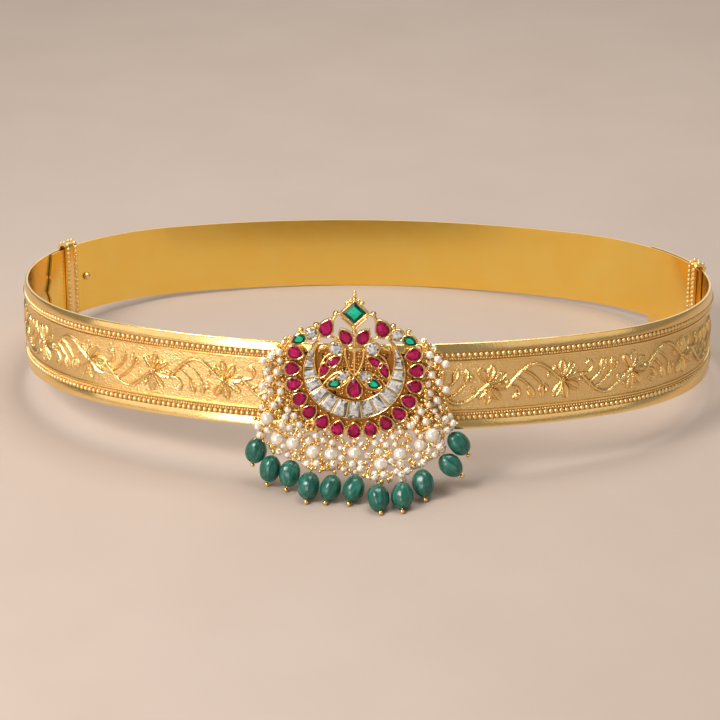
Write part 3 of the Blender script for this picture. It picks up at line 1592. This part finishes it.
class Fringe:
    """Beads, pearls and the wires that carry them."""

    def __init__(self, kit: Kit) -> None:
        """Starts the fringe's random draws and its batch of gold beads.
        """
        self.kit = kit
        self.seed = np.random.default_rng(11)
        self.gold = Batch()

    def nodes(self, start: str) -> list[str]:
        """CAD nodes whose names start with a word.

        Args:
            start: The word.

        Returns:
            Their names in order.
        """
        return sorted((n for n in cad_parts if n.startswith(start)), key=lambda n: (len(n), n))

    def emerald(self, node: str) -> None:
        """One tumbled, faintly ribbed bead.

        Args:
            node: Its CAD node.
        """
        co, faces = loose_parts(node)[0]
        found = drilled(co, faces)
        rows = basis(found.axis)
        local = (co - found.centre) @ rows.T
        half_l = np.abs(local[:, 2]).max()
        r = np.hypot(local[:, 0], local[:, 1]).max()
        phase = self.seed.uniform(0, 6.28, 6)
        verts, quads = ball(1.0, 40, 26)
        grain = [r / MM, r / MM, 0.22 * half_l / MM]
        spot = verts * grain + self.seed.uniform(0, 99, 3)
        turn = np.arctan2(verts[:, 1], verts[:, 0])
        ribs = 1 - 0.045 * np.abs(np.sin(3.5 * turn + phase[0]))
        ribs = ribs - 0.025 * np.cos(3 * turn + phase[1] + verts[:, 2])
        lumps = 1.03 + 0.025 * np.sin(4 * verts[:, 2] + phase[2]) * np.cos(2 * turn + phase[3])
        wide = (ribs * lumps)[:, None]
        shape = np.column_stack([verts[:, :2] * r * wide, verts[:, 2] * half_l])
        self.kit.mesh("tumbled_" + node, found.centre + shape @ rows, quads, "bead", Slot.BEAD, (node,),
                      60.0, {"local": spot}, True)

    def pearl(self, found: Drilled, batch: Batch, sides: int, rings: int) -> None:
        """One pearl with a slight dimple at each end of its drill.

        Args:
            found: Its place and size.
            batch: Batch that it is added to.
            sides: Number of sides.
            rings: Number of bands.
        """
        verts, faces = ball(found.r, sides, rings)
        squeeze = self.seed.uniform(0.96, 1.0)
        shape = verts * [1, squeeze, 1]
        pole = np.abs(shape[:, 2]) > found.r * 0.999
        shape[pole, 2] *= 0.94
        batch.add(found.centre + shape @ basis(found.axis), faces)

    def ends(self, found: Drilled, bead: np.ndarray, faces: list, gap: float) -> None:
        """A gold bead at each end of a pearl's drill.

        Args:
            found: The pearl's place and size.
            bead: The bead's points, about its middle.
            faces: The bead's faces.
            gap: Distance of the bead's middle from the pearl's surface, in millimetres.
        """
        rows = basis(found.axis)
        for way in (-1, 1):
            self.gold.add(bead + found.centre + way * rows[2] * (found.r + gap * MM), faces)

    def large(self) -> None:
        """The large pearls with their gold end beads."""
        bead, quads = ball(0.62 * MM, 10, 6)
        for node in self.nodes("large_pearl"):
            co, faces = loose_parts(node)[0]
            found = drilled(co, faces)
            batch = Batch()
            self.pearl(found, batch, 32, 20)
            self.kit.pack("nacre_" + node, batch, "pearl", Slot.PEARL, (node,), 60.0, in_row=True)
            self.ends(found, bead, quads, 0.4)

    def small(self) -> None:
        """The small pearls, each with a gold bead where its wire leaves it."""
        bead, quads = ball(0.46 * MM, 8, 5)
        for node in self.nodes("small_pearls"):
            batch = Batch()
            for co, faces in loose_parts(node):
                found = drilled(co, faces)
                self.pearl(found, batch, 20, 12)
                self.ends(found, bead, quads, 0.12)
            self.kit.pack("nacre_" + node, batch, "pearl", Slot.PEARL, (node,), 60.0, in_row=True)

    def build(self) -> None:
        """Makes the fringe."""
        for node in self.nodes("emerald_bead"):
            self.emerald(node)
        self.large()
        self.small()
        for node in self.nodes("fringe_wires"):
            self.kit.dress(node, "wire")
        self.kit.pack("gold_end_beads", self.gold, "wire", Slot.WIRE, smooth=60.0, in_row=True)


@dataclass
class Net:
    """The dense net of seed pearls, gold grains and loops between the plaque and the beads."""

    kit: Kit
    strings: int = 11
    first_anchor: int = -5
    anchor_r: float = 27.18
    edge: tuple = ((13, 25.5), (8, 30.2), (0, 33.0), (-9, 33.4), (-16, 35.5), (-21, 38.5))
    pearls: tuple = (75, 1.05, 1.45)
    grains: tuple = (300, 0.6, 1.0)
    loops: int = 320

    def __post_init__(self) -> None:
        """Reads what the net must stay clear of."""
        self.seed = np.random.default_rng(23)
        self.middles = np.zeros((2000, 3))
        self.radii = np.zeros(2000)
        self.count = 0
        belt = self.kit.belt
        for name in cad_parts:
            if name.startswith(("small_pearls", "large_pearl", "emerald_bead")):
                for co, faces in loose_parts(name):
                    found = drilled(co, faces)
                    centre = belt.level(found.centre[None])[0]
                    axis = found.axis @ belt.turn()
                    if name.startswith("emerald"):
                        for k in (-1, 0, 1):
                            self.take(centre + k * axis * 1.3, 4.1)
                    else:
                        self.take(centre, found.r / MM)
        self.path = self.strings_path()

    def strings_path(self) -> np.ndarray:
        """Anchor, large pearl and bead top of each string.

        Returns:
            An array of strings by three points.
        """
        belt = self.kit.belt
        rows = []
        for i in range(self.strings):
            a = math.radians((self.first_anchor + i) * belt.s.ring_step)
            anchor = np.array([self.anchor_r * math.sin(a), belt.plate_front - 0.6,
                               belt.s.ring_rise - self.anchor_r * math.cos(a)])
            bead = drilled(*loose_parts(f"emerald_bead_{i + 1}")[0])
            top = belt.level((bead.centre - bead.axis * (bead.r + 0.8 * MM))[None])[0]
            name = f"large_pearl_{i + 1}"
            middle = (anchor + top) / 2
            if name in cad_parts:
                middle = belt.level(drilled(*loose_parts(name)[0]).centre[None])[0]
            rows.append([anchor, middle, top])
        return np.array(rows)

    def curtain_point(self) -> np.ndarray:
        """A random place on the curtain of strings.

        Returns:
            The place.
        """
        u = self.seed.uniform(0, self.strings - 1.001)
        v = self.seed.uniform(0.0, 1.93)
        i, j = int(u), int(v)
        quad = self.path[i:i + 2, j:j + 2]
        row = quad[0] * (1 - (u - i)) + quad[1] * (u - i)
        spot = row[0] * (1 - (v - j)) + row[1] * (v - j)
        return spot + [0, self.seed.uniform(-1.9, 1.6), 0]

    def side_point(self) -> np.ndarray:
        """A random place on the nets beside the ring.

        Returns:
            The place.
        """
        belt = self.kit.belt
        z = self.seed.uniform(-20, 12.5)
        heights, reach = zip(*reversed(self.edge))
        out = np.interp(z, heights, reach)
        start = math.sqrt(max(0.0, (belt.s.ring_r + 3.6) ** 2 - z * z))
        x = self.seed.uniform(start, max(start + 0.5, out)) * self.seed.choice([-1, 1])
        return np.array([x, belt.plate_front + self.seed.uniform(-1.6, 2.2), belt.s.ring_rise + z])

    def clear(self, spot: np.ndarray, r: float) -> np.ndarray | None:
        """Checks a place, moved out in front of the band where it must be.

        Args:
            spot: The place.
            r: Radius of what goes there.

        Returns:
            The place, or None where something is in the way.
        """
        belt = self.kit.belt
        s = belt.s
        face = belt.front_cy - math.sqrt(s.front_r ** 2 - spot[0] ** 2)
        if spot[2] > -s.band_h / 2 - r:
            spot = np.array([spot[0], min(spot[1], face - s.relief_proud - 0.35 - r), spot[2]])
        flat = math.hypot(spot[0], spot[2] - s.ring_rise)
        if flat < s.ring_r + 3.3 + r and abs(spot[1] - belt.plate_front) < 3.2:
            return None
        if belt.world(spot[None])[0][2] < (r + 0.4) * MM:
            return None
        gaps = np.linalg.norm(self.middles[:self.count] - spot, axis=1) - self.radii[:self.count]
        return spot if gaps.min() > r + 0.04 else None

    def take(self, spot: np.ndarray, r: float) -> None:
        """Notes that a ball takes up a place.

        Args:
            spot: The place.
            r: The ball's radius.
        """
        self.middles[self.count] = spot
        self.radii[self.count] = r
        self.count += 1

    def scatter(self, count: int, low: float, high: float, side_share: float) -> list:
        """Places balls at random where there is room.

        Args:
            count: How many are wanted.
            low: Smallest radius.
            high: Largest radius.
            side_share: Share that goes beside the ring.

        Returns:
            Pairs of place and radius.
        """
        placed = []
        for _ in range(count * 14):
            if len(placed) == count:
                break
            r = self.seed.uniform(low, high)
            spot = self.side_point() if self.seed.uniform() < side_share else self.curtain_point()
            spot = self.clear(spot, r)
            if spot is None:
                continue
            placed.append((spot, r))
            self.take(spot, r)
        return placed

    def pins(self, pearls: list, gold: Batch) -> None:
        """Gold pin heads at both ends of each seed pearl.

        Args:
            pearls: Places and radii of the pearls.
            gold: Batch of the gold grains.
        """
        head, faces = ball(0.42, 8, 5)
        for spot, r in pearls:
            way = self.seed.normal(size=3) * [0.8, 0.4, 0.8] + [0, -1.0, 0.35]
            way /= np.linalg.norm(way)
            for end in (-1, 1):
                gold.add(head + spot + end * way * (r + 0.2), faces)

    def links(self, balls: list) -> Batch:
        """Oval wire loops between neighbours.

        Args:
            balls: Places and radii of pearls and grains.

        Returns:
            The loops.
        """
        loops = Batch()
        spots = self.middles[:self.count][self.radii[:self.count] < 3.0]
        made = 0
        for i, (spot, r) in enumerate(balls):
            near = np.argsort(np.linalg.norm(spots - spot, axis=1))[1:3]
            for j in near:
                reach = np.linalg.norm(spots[j] - spot)
                if made >= self.loops or reach > 4.2 or reach < 0.6:
                    continue
                way = (spots[j] - spot) / reach
                across = np.cross(way, self.seed.normal(size=3))
                across /= np.linalg.norm(across)
                turns = np.linspace(0, 2 * math.pi, 12, endpoint=False)
                middle = (spot + spots[j]) / 2
                half = max(0.9, reach / 2)
                path = [middle + way * half * math.cos(t) + across * 0.75 * math.sin(t) for t in turns]
                loops.add(*tube(np.array(path), 0.17, 5, True))
                made += 1
        return loops

    def build(self) -> None:
        """Makes the net."""
        pearls = self.scatter(*self.pearls, 0.24)
        grains = self.scatter(*self.grains, 0.42)
        nacre, gold = Batch(), Batch()
        verts, faces = ball(1.0, 14, 9)
        for spot, r in pearls:
            nacre.add(verts * r @ basis(self.seed.normal(size=3)) + spot, faces)
        small, quads = ball(1.0, 9, 6)
        for spot, r in grains:
            gold.add(small * r + spot, quads)
        self.pins(pearls, gold)
        loops = self.links(pearls + grains)
        LOG.info("net: %d pearls, %d grains", len(pearls), len(grains))
        self.kit.pack("seed_pearls", nacre, "pearl", Slot.PEARL, smooth=60.0)
        self.kit.pack("gold_grains", gold, "wire", Slot.WIRE, smooth=60.0)
        self.kit.pack("wire_loops", loops, "wire", Slot.WIRE, smooth=60.0)


@dataclass(frozen=True)
class View:
    """The photograph's camera, in the level belt's frame, in millimetres, degrees and pixels."""

    rise: float = 17.8
    swing: float = 2.9
    roll: float = 0.2
    target: tuple = (-2.9, 0.0, -20.0)
    away: float = 960.0
    focal: float = 2312.0
    width: float = 720.0
    sensor: float = 36.0


class Studio:
    """Floor, lights and camera."""

    def __init__(self, belt: Belt) -> None:
        """Keeps the belt's frame.

        Args:
            belt: The belt.
        """
        self.belt = belt

    def floor(self) -> None:
        """A plain pale floor."""
        sh = Shader("pale_floor")
        sh.set({"Roughness": 0.85})
        shades = [(0.2, (0.45, 0.36, 0.30)), (0.8, (0.48, 0.39, 0.33))]
        sh.link(sh.ramp(sh.noise(60.0), shades), "Base Color")
        data = bpy.data.meshes.new("floor")
        data.from_pydata([(-4, -4, 0), (4, -4, 0), (4, 4, 0), (-4, 4, 0)], [], [(0, 1, 2, 3)])
        data.materials.append(sh.material)
        obj = bpy.data.objects.new("floor", data)
        bpy.context.scene.collection.objects.link(obj)

    def light(self, name: str, at: tuple, size: tuple, power: float, colour: tuple = (1, 1, 1)) -> None:
        """A soft light panel that looks at the belt.

        Args:
            name: Its name.
            at: Its place in metres.
            size: Its width and height in metres.
            power: Its power in watts.
            colour: Its colour.
        """
        data = bpy.data.lights.new(name, "AREA")
        data.shape = "RECTANGLE"
        data.size, data.size_y = size
        data.energy = power
        data.color = colour
        obj = bpy.data.objects.new(name, data)
        obj.location = at
        obj.rotation_euler = (Vector((0, 0, 0.03)) - Vector(at)).to_track_quat("-Z", "Y").to_euler()
        bpy.context.scene.collection.objects.link(obj)

    def lights(self) -> None:
        """Soft studio lights and a pale surrounding."""
        self.light("key", (-0.55, -0.45, 0.7), (0.35, 0.35), 7.0, (1.0, 0.97, 0.93))
        self.light("front", (-0.28, -0.62, 0.16), (0.26, 0.26), 0.95, (1.0, 0.93, 0.88))
        self.light("strip", (-0.50, -0.52, 0.17), (0.75, 0.26), 0.52, (1.0, 0.85, 0.76))
        self.light("fill", (0.6, -0.5, 0.3), (0.6, 0.4), 0.38, (1.0, 0.84, 0.70))
        self.light("top", (0.10, 0.20, 0.9), (0.5, 0.5), 5.3)
        self.light("back", (0.0, 1.0, 0.52), (1.1, 1.1), 2.3, (1.0, 0.97, 0.93))
        world = bpy.data.worlds.new("surrounding")
        bpy.context.scene.world = world
        world.use_nodes = True
        back = world.node_tree.nodes["Background"]
        back.inputs["Color"].default_value = (0.95, 0.90, 0.84, 1)
        back.inputs["Strength"].default_value = 0.28

    def camera(self) -> None:
        """The camera at the photograph's angle to the belt."""
        view = View()
        rise, swing, roll = math.radians(view.rise), math.radians(view.swing), math.radians(view.roll)
        level = math.cos(rise)
        back = np.array([math.sin(swing) * level, -math.cos(swing) * level, math.sin(rise)])
        place = self.belt.world((np.array(view.target) + back * view.away)[None])[0]
        right = np.cross(-back, [0, 0, 1.0])
        right /= np.linalg.norm(right)
        up = np.cross(right, -back)
        side = right * math.cos(roll) + up * math.sin(roll)
        above = -right * math.sin(roll) + up * math.cos(roll)
        turn = self.belt.turn()
        rows = np.column_stack([turn @ side, turn @ above, turn @ back])
        data = bpy.data.cameras.new("camera")
        data.lens = view.focal / view.width * view.sensor
        data.sensor_width = view.sensor
        data.clip_start = 0.01
        obj = bpy.data.objects.new("camera", data)
        obj.matrix_world = Matrix.Translation(Vector(place)) @ Matrix(rows.tolist()).to_4x4()
        bpy.context.scene.collection.objects.link(obj)
        bpy.context.scene.camera = obj

    def build(self) -> None:
        """Makes the studio."""
        self.floor()
        self.lights()
        self.camera()
        bpy.context.scene.view_settings.view_transform = "Standard"


def main() -> None:
    """Builds the belt and its studio."""
    logging.basicConfig(level=logging.INFO, format="%(name)s: %(message)s")
    belt = Belt(BeltSizes())
    kit = Kit(belt)
    Studio(belt).build()
    FrontBand(kit).build()
    BackStrap(kit).build()
    Keepers(kit).build()
    Plaque(kit).build()
    Fringe(kit).build()
    Net(kit).build()


if __name__ == "__main__":
    main()
